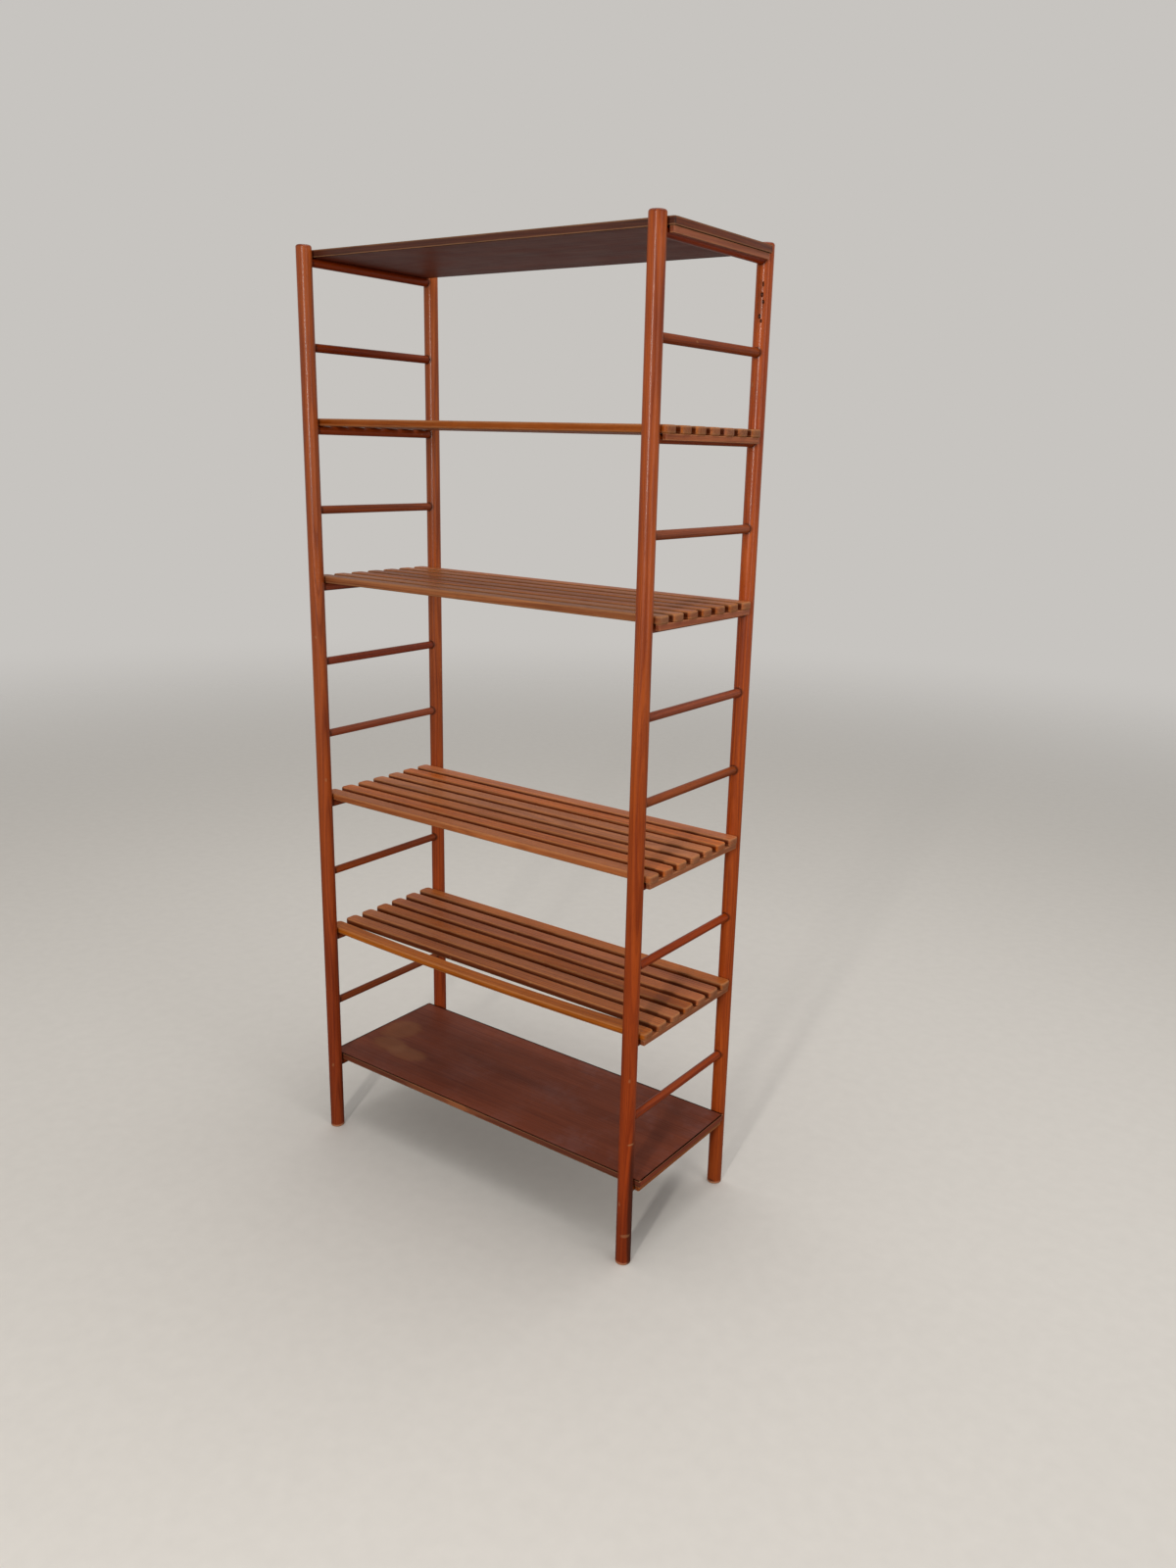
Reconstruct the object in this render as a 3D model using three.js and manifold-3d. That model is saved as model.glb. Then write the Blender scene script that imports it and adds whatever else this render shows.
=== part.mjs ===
// A freestanding ladder shelf: two ladders of round posts and rungs, and six shelves that lie on
// the rungs and lift off. Four shelves are slatted decks, and the top and bottom ones are panels.
// Millimetres, +Z up, +X along the shelves, front at -Y, origin on the floor under the centre.
import * as THREE from "three";
import { mergeVertices } from "three/addons/utils/BufferGeometryUtils.js";
import Module from "manifold-3d";

// Driving dimensions: the ladders.
const POST_HEIGHT = 1950;
const POST_RADIUS = 15.5;
const POST_TOP_ROUNDING = 4.5;
const FOOT_CHAMFER = 1.5;
const LADDER_SPACING = 840; // between the two ladders' centre planes
const POST_SPACING = 356; // between the front and rear posts of one ladder
const RUNG_RADIUS = 8.5;
const RUNG_PITCH = 160;
const RUNG_COUNT = 12;
const RUNG_SOCKET_DEPTH = 20; // how far a rung goes into each post

// Driving dimensions: the shelves.
const SHELF_OVERHANG = 23; // past the ladders' centre planes
const SHELF_TO_POST = 1; // clearance in front of and behind a shelf
const PANEL_THICKNESS = 13.5;
const SLAT_COUNT = 7;
const SLAT_WIDTH = 33;
const SLAT_THICKNESS = 14.5;
const SLAT_CORNER = 9; // radius of a slat's corners, seen from above
const SLAT_EASING = 3;
const PANEL_CORNER = 2;
const PANEL_EASING = 0.8;
const BATTEN_WIDTH = 10;
const BATTEN_HEIGHT = 11;
const BATTEN_END_INSET = 3;
const BATTEN_CORNER = 2;
const BATTEN_EASING = 0.8;
const BATTEN_TO_RUNG = 1; // play that lets a shelf drop on and lift off

const TOUCHING = 0.3; // gap between pieces that touch
const JOIN = 1; // how far joined pieces reach into each other

// Shelf levels, counted in rungs from the floor.
const PANEL_LEVELS = { bottom: 1, top: 12 };
const DECK_LEVELS = { lower: 3, middle: 5, upper: 8, high: 10 };

const POST_SIDES = 24;
const RUNG_SIDES = 16;
const CORNER_SEGMENTS = 1;

const SHELF_LENGTH = LADDER_SPACING + 2 * SHELF_OVERHANG;
const SHELF_DEPTH = POST_SPACING - 2 * (POST_RADIUS + SHELF_TO_POST);
const SLAT_PITCH = (SHELF_DEPTH - SLAT_WIDTH) / (SLAT_COUNT - 1);
const LADDER_SIDES = { left: -1, right: 1 };
const DEPTH_ENDS = { front: -1, rear: 1 };

const postWood = new THREE.MeshStandardMaterial({ color: 0x9a4a22, roughness: 0.35, metalness: 0 });
const rungWood = new THREE.MeshStandardMaterial({ color: 0x8f4520, roughness: 0.42, metalness: 0 });
const slatWood = new THREE.MeshStandardMaterial({ color: 0xa85f34, roughness: 0.5, metalness: 0 });
const battenWood = new THREE.MeshStandardMaterial({ color: 0xa2623c, roughness: 0.55, metalness: 0 });
const panelWood = new THREE.MeshStandardMaterial({ color: 0x5c2c20, roughness: 0.48, metalness: 0 });

const wasm = await Module();
wasm.setup();

// A closed three.js geometry as a manifold-3d solid.
function solid(geometry) {
  const bare = geometry.clone();
  bare.deleteAttribute("normal");
  bare.deleteAttribute("uv");
  const merged = mergeVertices(bare, 1e-4);
  return new wasm.Manifold(
    new wasm.Mesh({
      numProp: 3,
      vertProperties: merged.attributes.position.array,
      triVerts: new Uint32Array(merged.index.array),
    }),
  );
}

// A manifold-3d solid back as a three.js geometry.
function geometryOf(made) {
  const mesh = made.getMesh();
  const geometry = new THREE.BufferGeometry();
  geometry.setAttribute("position", new THREE.BufferAttribute(mesh.vertProperties, 3));
  geometry.setIndex(new THREE.BufferAttribute(mesh.triVerts, 1));
  geometry.computeVertexNormals();
  return geometry;
}

// A rod of the given radius that runs along Y from yStart to yEnd at a height.
function rodAlongY(radius, yStart, yEnd, height) {
  const rod = new THREE.CylinderGeometry(radius, radius, yEnd - yStart, RUNG_SIDES);
  rod.translate(0, (yStart + yEnd) / 2, height);
  return rod;
}

// A flat board lying on z = 0 and centred in X and Y, its plan corners rounded and all its edges eased.
function board(length, depth, thickness, corner, easing) {
  const x = length / 2;
  const y = depth / 2;
  const outline = new THREE.Shape();
  outline.moveTo(-x + corner, -y);
  outline.lineTo(x - corner, -y);
  outline.absarc(x - corner, -y + corner, corner, -Math.PI / 2, 0, false);
  outline.lineTo(x, y - corner);
  outline.absarc(x - corner, y - corner, corner, 0, Math.PI / 2, false);
  outline.lineTo(-x + corner, y);
  outline.absarc(-x + corner, y - corner, corner, Math.PI / 2, Math.PI, false);
  outline.lineTo(-x, -y + corner);
  outline.absarc(-x + corner, -y + corner, corner, Math.PI, 1.5 * Math.PI, false);
  const geometry = new THREE.ExtrudeGeometry(outline, {
    depth: thickness - 2 * easing,
    curveSegments: CORNER_SEGMENTS,
    bevelThickness: easing,
    bevelSize: easing,
    bevelOffset: -easing,
    bevelSegments: 1,
  });
  geometry.translate(0, 0, easing);
  return geometry;
}

const rungHeight = (level) => level * RUNG_PITCH;
const boardBottom = (level) => rungHeight(level) + RUNG_RADIUS + TOUCHING;
const slatY = (index) => -SHELF_DEPTH / 2 + SLAT_WIDTH / 2 + index * SLAT_PITCH;

const group = new THREE.Group();

function addNode(parent, name, geometry, material) {
  const mesh = new THREE.Mesh(geometry, material);
  mesh.name = name;
  parent.add(mesh);
  return mesh;
}

// A post stands on z = 0. It is turned, with a rounded top and a chamfered foot, and it has a row
// of blind sockets that face the other post of its ladder.
function postGeometry(facing) {
  const profile = [
    new THREE.Vector2(0, 0),
    new THREE.Vector2(POST_RADIUS - FOOT_CHAMFER, 0),
    new THREE.Vector2(POST_RADIUS, FOOT_CHAMFER),
  ];
  const roundingSteps = 3;
  for (let step = 0; step <= roundingSteps; step++) {
    const angle = (step / roundingSteps) * (Math.PI / 2);
    const radius = POST_RADIUS - POST_TOP_ROUNDING * (1 - Math.cos(angle));
    const height = POST_HEIGHT - POST_TOP_ROUNDING * (1 - Math.sin(angle));
    profile.push(new THREE.Vector2(radius, height));
  }
  profile.push(new THREE.Vector2(0, POST_HEIGHT));
  const turned = new THREE.LatheGeometry(profile, POST_SIDES);
  turned.rotateX(Math.PI / 2);
  let post = solid(turned);
  const bottom = POST_RADIUS - RUNG_SOCKET_DEPTH - TOUCHING;
  const beyondMouth = 2 * POST_RADIUS;
  const [yStart, yEnd] = facing > 0 ? [bottom, beyondMouth] : [-beyondMouth, -bottom];
  for (let level = 1; level <= RUNG_COUNT; level++) {
    const socket = rodAlongY(RUNG_RADIUS + TOUCHING, yStart, yEnd, rungHeight(level));
    post = post.subtract(solid(socket));
  }
  return geometryOf(post);
}

// Each ladder: two posts joined by twelve rungs.
function addLadder(sideName) {
  const ladder = new THREE.Group();
  ladder.position.x = (LADDER_SPACING / 2) * LADDER_SIDES[sideName];
  group.add(ladder);
  for (const [endName, end] of Object.entries(DEPTH_ENDS)) {
    const post = addNode(ladder, `post_${endName}_${sideName}`, postGeometry(-end), postWood);
    post.position.y = (POST_SPACING / 2) * end;
  }
  const reach = POST_SPACING / 2 - POST_RADIUS + RUNG_SOCKET_DEPTH;
  for (let level = 1; level <= RUNG_COUNT; level++) {
    const number = String(level).padStart(2, "0");
    const rod = rodAlongY(RUNG_RADIUS, -reach, reach, 0);
    const rung = addNode(ladder, `rung_${sideName}_${number}`, rod, rungWood);
    rung.position.z = rungHeight(level);
  }
}

// A batten runs under a shelf's end from front to rear, just outside the rungs, and stops the
// shelf from sliding along. It hangs below z = 0, the underside of the boards.
const BATTEN_X = LADDER_SPACING / 2 + RUNG_RADIUS + BATTEN_TO_RUNG + BATTEN_WIDTH / 2;
const BATTEN_LENGTH = SHELF_DEPTH - 2 * BATTEN_END_INSET;

function battenGeometry() {
  const height = BATTEN_HEIGHT - TOUCHING;
  const geometry = board(BATTEN_WIDTH, BATTEN_LENGTH, height, BATTEN_CORNER, BATTEN_EASING);
  geometry.translate(0, 0, -BATTEN_HEIGHT);
  return geometry;
}

const slatGeometry = () => board(SHELF_LENGTH, SLAT_WIDTH, SLAT_THICKNESS, SLAT_CORNER, SLAT_EASING);

// The outer frame of a slatted deck: the front and rear slats glued to the two battens.
function deckFrameGeometry() {
  let frame = null;
  const join = (geometry, x, y, z) => {
    geometry.translate(x, y, z);
    const piece = solid(geometry);
    frame = frame ? frame.add(piece) : piece;
  };
  for (const end of Object.values(DEPTH_ENDS)) {
    join(slatGeometry(), 0, slatY(0) * -end, 0);
  }
  const padLength = SLAT_WIDTH - 2 * SLAT_EASING - BATTEN_END_INSET;
  const padHeight = 2 * JOIN + TOUCHING;
  for (const side of Object.values(LADDER_SIDES)) {
    join(battenGeometry(), BATTEN_X * side, 0, 0);
    for (const end of Object.values(DEPTH_ENDS)) {
      const pad = new THREE.BoxGeometry(BATTEN_WIDTH - 2 * BATTEN_EASING, padLength, padHeight);
      join(pad, BATTEN_X * side, slatY(0) * -end, JOIN - padHeight / 2);
    }
  }
  return geometryOf(frame);
}

function shelfGroup(level) {
  const shelf = new THREE.Group();
  shelf.position.z = boardBottom(level);
  group.add(shelf);
  return shelf;
}

// A slatted deck: the joined outer frame, and the five slats between its front and rear slats.
function addDeck(deckName, level) {
  const deck = shelfGroup(level);
  addNode(deck, `${deckName}_deck_frame`, deckFrameGeometry(), battenWood);
  for (let index = 1; index < SLAT_COUNT - 1; index++) {
    const slat = addNode(deck, `${deckName}_deck_slat_${index + 1}`, slatGeometry(), slatWood);
    slat.position.y = slatY(index);
  }
}

// A solid shelf: one veneered panel on two battens.
function addPanelShelf(shelfName, level) {
  const shelf = shelfGroup(level);
  const panel = board(SHELF_LENGTH, SHELF_DEPTH, PANEL_THICKNESS, PANEL_CORNER, PANEL_EASING);
  addNode(shelf, `${shelfName}_panel`, panel, panelWood);
  for (const [sideName, side] of Object.entries(LADDER_SIDES)) {
    const batten = addNode(shelf, `${shelfName}_panel_batten_${sideName}`, battenGeometry(), battenWood);
    batten.position.x = BATTEN_X * side;
  }
}

for (const sideName of Object.keys(LADDER_SIDES)) {
  addLadder(sideName);
}
for (const [shelfName, level] of Object.entries(PANEL_LEVELS)) {
  addPanelShelf(shelfName, level);
}
for (const [deckName, level] of Object.entries(DECK_LEVELS)) {
  addDeck(deckName, level);
}

export default group;
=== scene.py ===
# %% [markdown]
# # A ladder shelf in lacquered wood
# Two ladders of round posts and rungs carry six loose shelves: a veneered panel at the bottom and
# at the top, and four slatted decks between them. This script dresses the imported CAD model. It
# makes every post, rung, slat, batten, board and lipping as its own mesh, where the CAD says,
# gives each one a wood finish made of nodes, and sets up a small studio round the shelf.

# %% Load the CAD frame
import math
import random

import bmesh
import bpy
from mathutils import Matrix, Vector


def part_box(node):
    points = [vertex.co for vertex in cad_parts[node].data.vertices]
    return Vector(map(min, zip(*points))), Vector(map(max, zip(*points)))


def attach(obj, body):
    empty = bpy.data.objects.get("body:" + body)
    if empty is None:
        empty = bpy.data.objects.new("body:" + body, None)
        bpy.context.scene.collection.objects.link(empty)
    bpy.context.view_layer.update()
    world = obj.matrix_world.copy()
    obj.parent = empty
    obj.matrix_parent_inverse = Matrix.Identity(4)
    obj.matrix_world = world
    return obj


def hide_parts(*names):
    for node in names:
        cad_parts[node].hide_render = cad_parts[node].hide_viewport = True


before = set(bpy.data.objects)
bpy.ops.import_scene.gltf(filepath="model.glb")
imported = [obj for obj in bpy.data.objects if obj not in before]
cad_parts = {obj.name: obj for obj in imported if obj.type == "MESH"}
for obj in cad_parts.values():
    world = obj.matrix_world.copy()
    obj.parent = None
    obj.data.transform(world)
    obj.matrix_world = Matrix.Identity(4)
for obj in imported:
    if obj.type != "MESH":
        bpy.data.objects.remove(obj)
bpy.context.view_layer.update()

# %% [markdown]
# ## Measuring the frame
# A joiner takes sizes off the work and not off the drawing. The sizes here are measured on the
# CAD nodes, so that if a post gets thicker or a rung moves, the finished pieces follow it. The
# section of a batten and the places of single marks are given further on.

# %% Measure the ladders and the shelves
MM = 0.001
SIDES = {"left": -1, "right": 1}
ENDS = {"front": -1, "rear": 1}
DECKS = ("lower", "middle", "upper", "high")
PANELS = ("bottom", "top")
RUNG_COUNT = 12
SLAT_COUNT = 7


def size_of(node):
    low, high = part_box(node)
    return high - low


def centre_of(node):
    low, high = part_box(node)
    return (low + high) / 2


POST_RADIUS = size_of("post_front_left").x / 2
POST_HEIGHT = size_of("post_front_left").z
RUNG_RADIUS = size_of("rung_left_01").x / 2
RUNG_PITCH = centre_of("rung_left_02").z - centre_of("rung_left_01").z
LADDER_X = centre_of("rung_right_01").x
POST_Y = centre_of("post_rear_left").y
print(f"post {2 * POST_RADIUS / MM:.1f} x {POST_HEIGHT / MM:.0f} mm,",
      f"rung {2 * RUNG_RADIUS / MM:.1f} mm every {RUNG_PITCH / MM:.0f} mm")

# %% [markdown]
# ## What a piece of wood has to know about itself
# Wood is a bundle of fibres, so its pattern runs one way in each piece: up a post, along a slat,
# from front to rear in a rung. One could map each piece by hand. Here every vertex gets a `grain`
# vector, its place along, across and through the fibres plus an offset drawn once for the piece,
# so one finish fits every direction and no two pieces show the same figure. `edge` is near 1 on
# an eased edge and 0 on a flat, for wear, and `end_grain` is 1 where the fibres are cut across.
# `tone` is three numbers for the whole piece: the first makes it lighter or darker, the others
# turn its hue and change how strong its colour is. A piece can also be given a `shade`, a number
# added to the first of them, where the real one looks lighter or darker. Most shades are painted
# light: they follow the light that fell on the piece and not its wood. Where a shade is the
# wood's own tone, that is said where it is set.

# %% Write the wood coordinates into a mesh
GRAIN_AXES = {"X": (0, 1, 2), "Y": (1, 0, 2), "Z": (2, 0, 1)}
GRAIN_SPREAD = 4.0  # metres of an imagined log that the pieces are cut from


def point_attribute(mesh, name, kind, values):
    attribute = mesh.attributes.new(name, kind, "POINT")
    field = "vector" if kind == "FLOAT_VECTOR" else "value"
    attribute.data.foreach_set(field, values)


def mark_wood(obj, direction, edge_values=None, turn=0.0, shade=0.0):
    """Writes grain, tone, end_grain and edge. The piece's own name seeds what is drawn."""
    mesh = obj.data
    draw = random.Random(obj.name)
    offset = [draw.uniform(0, GRAIN_SPREAD) for _ in range(3)]
    along, across, through = GRAIN_AXES[direction]
    cos_turn, sin_turn = math.cos(turn), math.sin(turn)
    grain, end_grain = [], []
    for vertex in mesh.vertices:
        a, b, c = vertex.co[along], vertex.co[across], vertex.co[through]
        grain += [a + offset[0], b * cos_turn - c * sin_turn + offset[1],
                  b * sin_turn + c * cos_turn + offset[2]]
        end_grain.append(abs(vertex.normal[along]))
    tone = [draw.uniform(-1, 1) + shade, draw.uniform(-1, 1), draw.uniform(-1, 1)]
    count = len(mesh.vertices)
    point_attribute(mesh, "grain", "FLOAT_VECTOR", grain)
    point_attribute(mesh, "tone", "FLOAT_VECTOR", tone * count)
    point_attribute(mesh, "end_grain", "FLOAT", end_grain)
    point_attribute(mesh, "edge", "FLOAT", edge_values or [0.0] * count)


# %% [markdown]
# ## Adding a piece
# A finished piece needs the same few things each time: a mesh, a body to ride on, the CAD nodes
# that it stands for, which are hidden, a material slot, which is only counted, and a finish.

# %% Helpers that make a mesh into a piece
piece_count = {}


def mesh_object(name, vertices, faces):
    mesh = bpy.data.meshes.new(name)
    mesh.from_pydata(vertices, [], faces)
    mesh.validate()
    obj = bpy.data.objects.new(name, mesh)
    bpy.context.scene.collection.objects.link(obj)
    return obj


def add_piece(obj, body, nodes, slot, finish):
    obj.data.materials.append(finish)
    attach(obj, body)
    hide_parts(*nodes)
    piece_count[slot] = piece_count.get(slot, 0) + 1
    return obj


# %% [markdown]
# ## Small tools for building shader nodes
# A shader tree reads best as a chain of short steps. These helpers add one node each and give
# back its output socket, so a finish below reads almost like a recipe.

# %% Node helpers
def node(tree, kind, inputs=None, **settings):
    made = tree.nodes.new(kind)
    for key, value in settings.items():
        setattr(made, key, value)
    for key, value in (inputs or {}).items():
        if isinstance(value, bpy.types.NodeSocket):
            tree.links.new(value, made.inputs[key])
        else:
            made.inputs[key].default_value = value
    return made


def calc(tree, operation, a, b=0.0, c=0.0, clamp=False):
    values = {0: a, 1: b, 2: c}
    return node(tree, "ShaderNodeMath", values, operation=operation, use_clamp=clamp).outputs[0]


def vector_calc(tree, operation, a, b):
    return node(tree, "ShaderNodeVectorMath", {0: a, 1: b}, operation=operation).outputs[0]


def fade(tree, value, start, end, low=0.0, high=1.0):
    """low where value is at start, high where it is at end, and a smooth step between."""
    inputs = {"Value": value, "From Min": start, "From Max": end, "To Min": low, "To Max": high}
    made = node(tree, "ShaderNodeMapRange", inputs, interpolation_type="SMOOTHSTEP")
    return made.outputs["Result"]


def mix_colour(tree, factor, a, b, mode="MIX"):
    made = node(tree, "ShaderNodeMix", data_type="RGBA", blend_type=mode)
    for index, value in ((0, factor), (6, a), (7, b)):
        if isinstance(value, bpy.types.NodeSocket):
            tree.links.new(value, made.inputs[index])
        else:
            made.inputs[index].default_value = value
    return made.outputs[2]


def noise(tree, vector, scale=1.0, detail=2.0, roughness=0.5):
    inputs = {"Vector": vector, "Scale": scale, "Detail": detail, "Roughness": roughness}
    return node(tree, "ShaderNodeTexNoise", inputs).outputs["Fac"]


def read(tree, name, output="Fac"):
    return node(tree, "ShaderNodeAttribute", attribute_name=name).outputs[output]


SOCKETS = {"float": "NodeSocketFloat", "vector": "NodeSocketVector", "colour": "NodeSocketColor"}


def new_group(name, inputs, outputs):
    """A node group with named sockets. Gives back its tree, input sockets and output sockets."""
    tree = bpy.data.node_groups.new(name, "ShaderNodeTree")
    for label, kind in inputs.items():
        tree.interface.new_socket(name=label, in_out="INPUT", socket_type=SOCKETS[kind])
    for label, kind in outputs.items():
        tree.interface.new_socket(name=label, in_out="OUTPUT", socket_type=SOCKETS[kind])
    source = tree.nodes.new("NodeGroupInput")
    sink = tree.nodes.new("NodeGroupOutput")
    print("group", name, "gives", ", ".join(outputs))
    return tree, source.outputs, sink.inputs


def use_group(tree, name, inputs):
    """Places a finished group in a material and gives back its output sockets."""
    made = tree.nodes.new("ShaderNodeGroup")
    made.node_tree = bpy.data.node_groups[name]
    for key, value in inputs.items():
        if isinstance(value, bpy.types.NodeSocket):
            tree.links.new(value, made.inputs[key])
        else:
            made.inputs[key].default_value = value
    return made.outputs


# %% [markdown]
# ## Effect: the figure of the wood
# Close to, this wood shows three things: growth lines a few millimetres apart that wander a
# little, fine fibres, and short dark pores. A wave texture gives lines that are too even. Noise
# that is stretched along the fibres, with its spacing warped by slower noise, has the uneven
# rhythm of real growth, and because it is solid it also shows the right dots on a cut end.

# %% Group: wood figure
# Each scale is in repeats per metre along, across and through the fibres.
WANDER_SCALE = (1.6, 9.0, 9.0)
FIBRE_SCALE = (11.0, 620.0, 620.0)
PORE_SCALE = (85.0, 2300.0, 2300.0)
CLOUD_SCALE = (3.2, 17.0, 17.0)
WANDER = 35 * MM  # how far a growth line strays from straight
RING_TILT = 0.55  # the growth lines lie at an angle to the faces
FIBRE_CONTRAST = 1.1
CLOUD_CONTRAST = 1.3
BASE_DEPTH = 0.25
PORE_TINT = (0.35, 0.25, 0.2, 1)

tree, given, out = new_group(
    "Wood figure",
    {"Grain": "vector", "Pale wood": "colour", "Deep wood": "colour", "Lines per metre": "float",
     "Line strength": "float", "Pore strength": "float"},
    {"Colour": "colour", "Height": "float", "Cloud": "float"})
slow = vector_calc(tree, "MULTIPLY", given["Grain"], WANDER_SCALE)
wander = calc(tree, "SUBTRACT", noise(tree, slow, detail=1.0), 0.5)
wander = calc(tree, "MULTIPLY", wander, WANDER)
parts = node(tree, "ShaderNodeSeparateXYZ", {0: given["Grain"]}).outputs
ring = calc(tree, "MULTIPLY_ADD", parts[2], RING_TILT, parts[1])
ring = calc(tree, "MULTIPLY", calc(tree, "ADD", ring, wander), given["Lines per metre"])
growth_noise = node(tree, "ShaderNodeTexNoise", {"W": ring, "Scale": 1.0, "Detail": 2.0},
                    noise_dimensions="1D").outputs["Fac"]
growth = fade(tree, growth_noise, 0.36, 0.62)
fibre_place = vector_calc(tree, "MULTIPLY", given["Grain"], FIBRE_SCALE)
fibre = noise(tree, fibre_place, detail=3.0, roughness=0.62)
pore_place = vector_calc(tree, "MULTIPLY", given["Grain"], PORE_SCALE)
pores = fade(tree, noise(tree, pore_place, detail=1.0), 0.60, 0.72)
pores = calc(tree, "MULTIPLY", pores, given["Pore strength"])
cloud_place = vector_calc(tree, "MULTIPLY", given["Grain"], CLOUD_SCALE)
cloud = noise(tree, cloud_place, detail=2.0, roughness=0.55)
lines = calc(tree, "MULTIPLY", calc(tree, "SUBTRACT", 1.0, growth), given["Line strength"])
depth = calc(tree, "MULTIPLY_ADD", calc(tree, "SUBTRACT", 0.5, fibre), FIBRE_CONTRAST, lines)
depth = calc(tree, "MULTIPLY_ADD", calc(tree, "SUBTRACT", 0.5, cloud), CLOUD_CONTRAST, depth)
depth = calc(tree, "ADD", depth, BASE_DEPTH, clamp=True)
tinted = mix_colour(tree, depth, given["Pale wood"], given["Deep wood"])
darker = calc(tree, "MULTIPLY", pores, 0.6)
tinted = mix_colour(tree, darker, tinted, PORE_TINT, mode="MULTIPLY")
tree.links.new(tinted, out["Colour"])
height = calc(tree, "SUBTRACT", calc(tree, "MULTIPLY", fibre, 0.55), pores)
tree.links.new(calc(tree, "MULTIPLY_ADD", growth, 0.25, height), out["Height"])
tree.links.new(cloud, out["Cloud"])

# %% [markdown]
# ## Effect: board to board
# Slats cut from different boards take the finish differently, so some are golden and some red.
# One could give each piece a material of its own. Here one material reads the tone of the piece,
# turns its hue a little and makes it lighter or darker.

# %% Group: board to board
NEUTRAL_HUE = 0.5  # the hue node's setting for no change
SATURATION_SPREAD = 0.06

tree, given, out = new_group(
    "Board to board",
    {"Colour": "colour", "Tone": "vector", "Light and dark": "float", "Hue": "float"},
    {"Colour": "colour"})
tones = node(tree, "ShaderNodeSeparateXYZ", {0: given["Tone"]}).outputs
value = calc(tree, "MULTIPLY_ADD", tones[0], given["Light and dark"], 1.0)
hue = calc(tree, "MULTIPLY_ADD", tones[1], given["Hue"], NEUTRAL_HUE)
saturation = calc(tree, "MULTIPLY_ADD", tones[2], SATURATION_SPREAD, 1.0)
shifted = node(tree, "ShaderNodeHueSaturation",
               {"Hue": hue, "Saturation": saturation, "Value": value, "Color": given["Colour"]})
tree.links.new(shifted.outputs[0], out["Colour"])

# %% [markdown]
# ## Effect: rubbed edges
# Hands and feet rub the lacquer off edges first, never evenly. The `edge` value says where an
# edge is, and a patchy noise decides how much of it has gone.

# %% Group: rubbed edges
PATCH_SCALE = (22.0, 90.0, 90.0)
BORDER_SHARPNESS = 5.0

tree, given, out = new_group(
    "Rubbed edges",
    {"Edge": "float", "Grain": "vector", "Amount": "float"},
    {"Mask": "float"})
patch_place = vector_calc(tree, "MULTIPLY", given["Grain"], PATCH_SCALE)
patchy = noise(tree, patch_place, detail=4.0, roughness=0.6)
reach = calc(tree, "MULTIPLY_ADD", given["Edge"], 0.5, calc(tree, "MULTIPLY", patchy, 0.9))
limit = calc(tree, "SUBTRACT", 1.05, given["Amount"])
over = calc(tree, "SUBTRACT", reach, limit)
over = calc(tree, "MULTIPLY", over, BORDER_SHARPNESS, clamp=True)
tree.links.new(calc(tree, "MULTIPLY", over, given["Edge"]), out["Mask"])

# %% [markdown]
# ## Effect: nicks
# Use leaves small dents. They could be placed by hand, one by one. Voronoi cells scatter points
# through space instead, and a point that happens to lie on the surface makes a nick. Only a share
# of the cells has one.

# %% Group: nicks
NICK_STRETCH = (0.55, 1.0, 1.0)  # below 1 along the fibres, so nicks are longer that way
CRUMB_SCALE = 260.0
CRUMB_STRENGTH = 0.16

tree, given, out = new_group(
    "Nicks",
    {"Grain": "vector", "Cells per metre": "float", "Size": "float", "Share": "float"},
    {"Mask": "float"})
stretched = vector_calc(tree, "MULTIPLY", given["Grain"], NICK_STRETCH)
cells = node(tree, "ShaderNodeTexVoronoi",
             {"Vector": stretched, "Scale": given["Cells per metre"]}).outputs
ragged = noise(tree, given["Grain"], scale=CRUMB_SCALE, detail=3.0)
ragged = calc(tree, "SUBTRACT", ragged, 0.5)
spread = calc(tree, "MULTIPLY_ADD", ragged, CRUMB_STRENGTH, cells["Distance"])
inside = calc(tree, "SUBTRACT", 1.0, calc(tree, "DIVIDE", spread, given["Size"]), clamp=True)
chance = node(tree, "ShaderNodeSeparateColor", {0: cells["Color"]}).outputs[0]
chosen = calc(tree, "LESS_THAN", chance, given["Share"])
inside = calc(tree, "MULTIPLY", calc(tree, "MULTIPLY", inside, 2.2, clamp=True), chosen)
tree.links.new(inside, out["Mask"])

# %% [markdown]
# ## Effect: one mark in one place
# Some marks belong to one spot, such as a worn patch on a shelf. A painted image would need the
# piece unwrapped first. This mark is an ellipsoid about a centre in space, and noise eats into
# its border so that it doesn't look drawn.

# %% Group: mark
tree, given, out = new_group(
    "Mark",
    {"Place": "vector", "Centre": "vector", "Half size": "vector", "Ragged": "float",
     "Ragged scale": "vector"},
    {"Mask": "float"})
from_centre = vector_calc(tree, "SUBTRACT", given["Place"], given["Centre"])
reach_vector = vector_calc(tree, "DIVIDE", from_centre, given["Half size"])
reach = node(tree, "ShaderNodeVectorMath", {0: reach_vector}, operation="LENGTH").outputs["Value"]
eaten_place = vector_calc(tree, "MULTIPLY", given["Place"], given["Ragged scale"])
eaten = calc(tree, "SUBTRACT", noise(tree, eaten_place, detail=5.0, roughness=0.65), 0.5)
reach = calc(tree, "MULTIPLY_ADD", eaten, given["Ragged"], reach)
tree.links.new(fade(tree, reach, 1.0, 0.55), out["Mask"])

# %% [markdown]
# ## Effect: lacquer
# The finish is a thin lacquer. It lies in smears and streaks, so its gloss is never even, and
# worn places are duller. This group only varies the roughness. The coat and the strength of its
# reflection are set on the shader in each material.

# %% Group: lacquer
SMEAR_SCALE = (14.0, 14.0, 9.0)
STREAK_SCALE = (9.0, 260.0, 260.0)
WORN_ROUGHER = 0.25

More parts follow.
